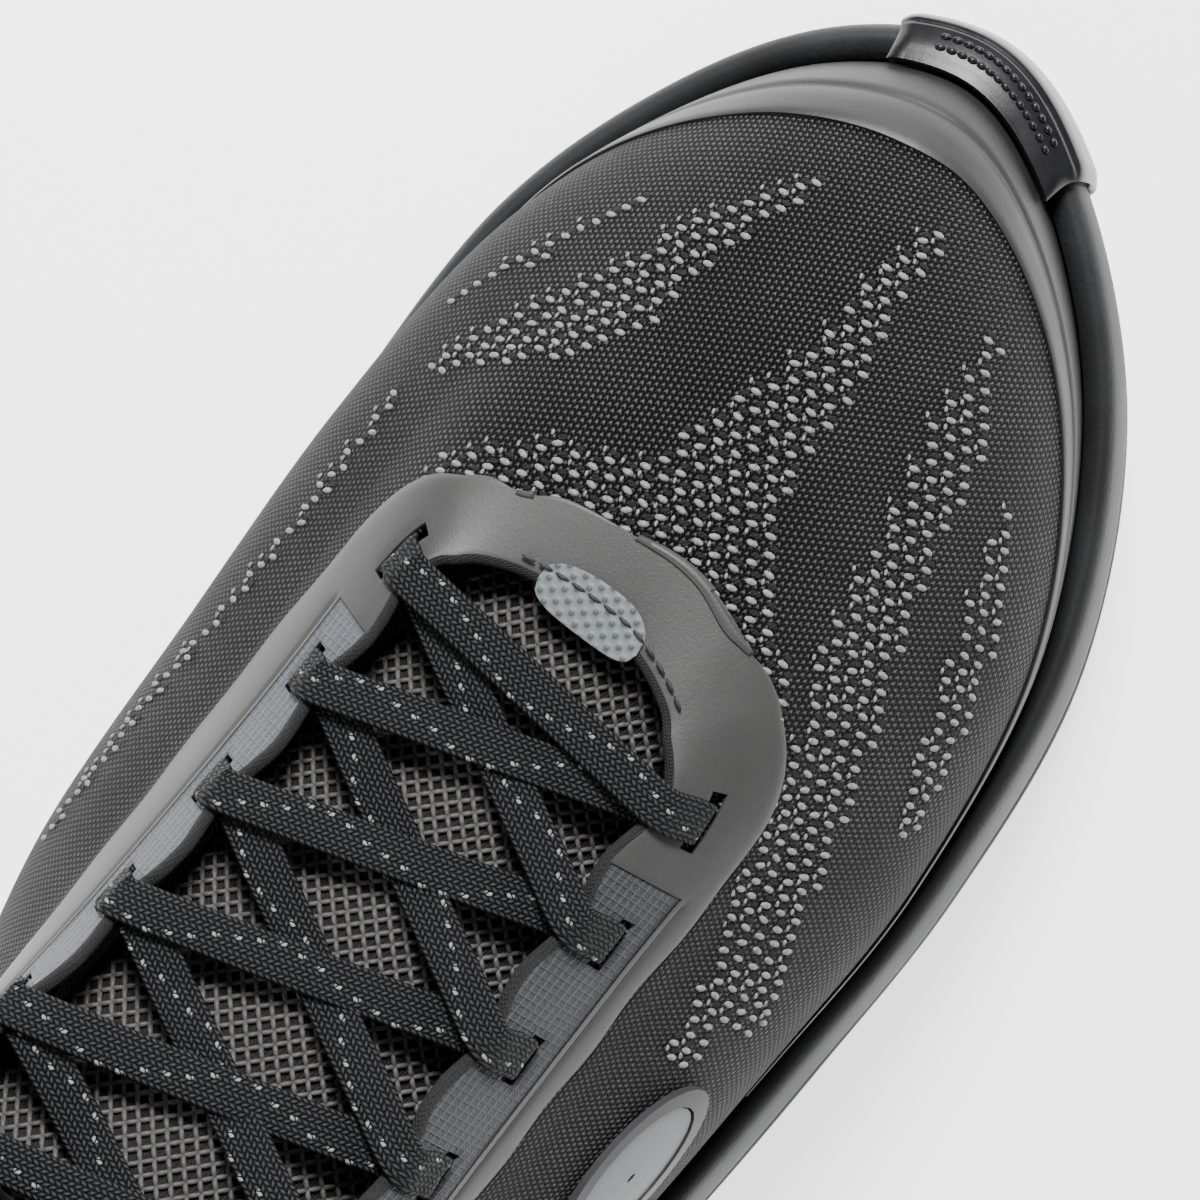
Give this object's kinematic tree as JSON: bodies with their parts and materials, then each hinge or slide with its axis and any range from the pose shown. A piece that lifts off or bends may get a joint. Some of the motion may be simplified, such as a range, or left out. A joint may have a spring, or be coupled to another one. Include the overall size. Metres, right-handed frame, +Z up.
{
  "type": "running shoe",
  "caption": "Low-cut laced running shoe with a knit upper, bonded toe guard and throat film, padded collar and tongue, foam sole and segmented rubber outsole.",
  "frame": {"origin": "centre of the bounding box without the free lace ends, on the ground", "axes": "+X toward the toe, +Y toward the inner (medial) side, +Z up"},
  "size_m": [0.2956, 0.1116, 0.1305],
  "materials": {
    "outsole": "moulded black rubber, satin",
    "bumper": "glossy black rubber",
    "foam_sole": "charcoal EVA foam",
    "board": "non-woven board",
    "insole": "knit-covered foam",
    "knit": "charcoal engineered knit with light open stitches",
    "guard": "dark grey thin film with fine grain",
    "overlay": "grey thin film with fine grain",
    "puff": "thermoplastic stiffener",
    "ripstop_light": "blue-grey ripstop",
    "ripstop_dark": "blue-grey ripstop",
    "foam": "open-cell foam",
    "lining": "dark brushed lining",
    "tongue_mesh": "open diamond mesh",
    "tab": "light grey dotted backing",
    "lace": "flat braided, dark with light flecks",
    "tip": "clear-coated dark sleeve",
    "patch_rim": "raised dark rim",
    "patch_face": "raised light grey face",
    "webbing": "woven webbing"
  },
  "bodies": {
    "shoe": {"outsole_forefoot": "outsole", "outsole_heel_lateral": "outsole", "outsole_heel_medial": "outsole", "toe_bumper": "bumper", "midsole": "foam_sole", "strobel_board": "board", "insole": "insole", "knit_upper": "knit", "toe_guard": "guard", "medial_strip": "guard", "toe_puff": "puff", "eyestay_overlay": "overlay", "window_medial": "ripstop_light", "window_lateral": "ripstop_dark", "heel_overlay": "guard", "heel_counter": "puff", "collar_foam": "foam", "heel_lining": "lining", "throat_tab": "tab", "lace_crossings": "lace", "lace_bow": "lace", "lace_end_left": "lace", "lace_end_right": "lace", "aglets": "tip", "emblem_rim": "patch_rim", "emblem_face": "patch_face"},
    "tongue": {"tongue_mesh": "tongue_mesh", "tongue_foam": "foam", "tongue_lining": "lining", "tongue_top_panel": "guard"},
    "pull_tab": {"pull_tab": "webbing"}
  },
  "joints": [
    {"name": "tongue_hinge", "type": "hinge", "parent": "shoe", "child": "tongue", "pos_m": [0.0618, 0, 0.0718], "axis": [0, 1, 0], "range_deg": [-6, 0], "stiffness_Nm_per_rad": 1},
    {"name": "pull_tab_hinge", "type": "hinge", "parent": "shoe", "child": "pull_tab", "pos_m": [-0.1412, 0, 0.0892], "axis": [0, 1, 0], "range_deg": [-60, 0]}
  ]
}
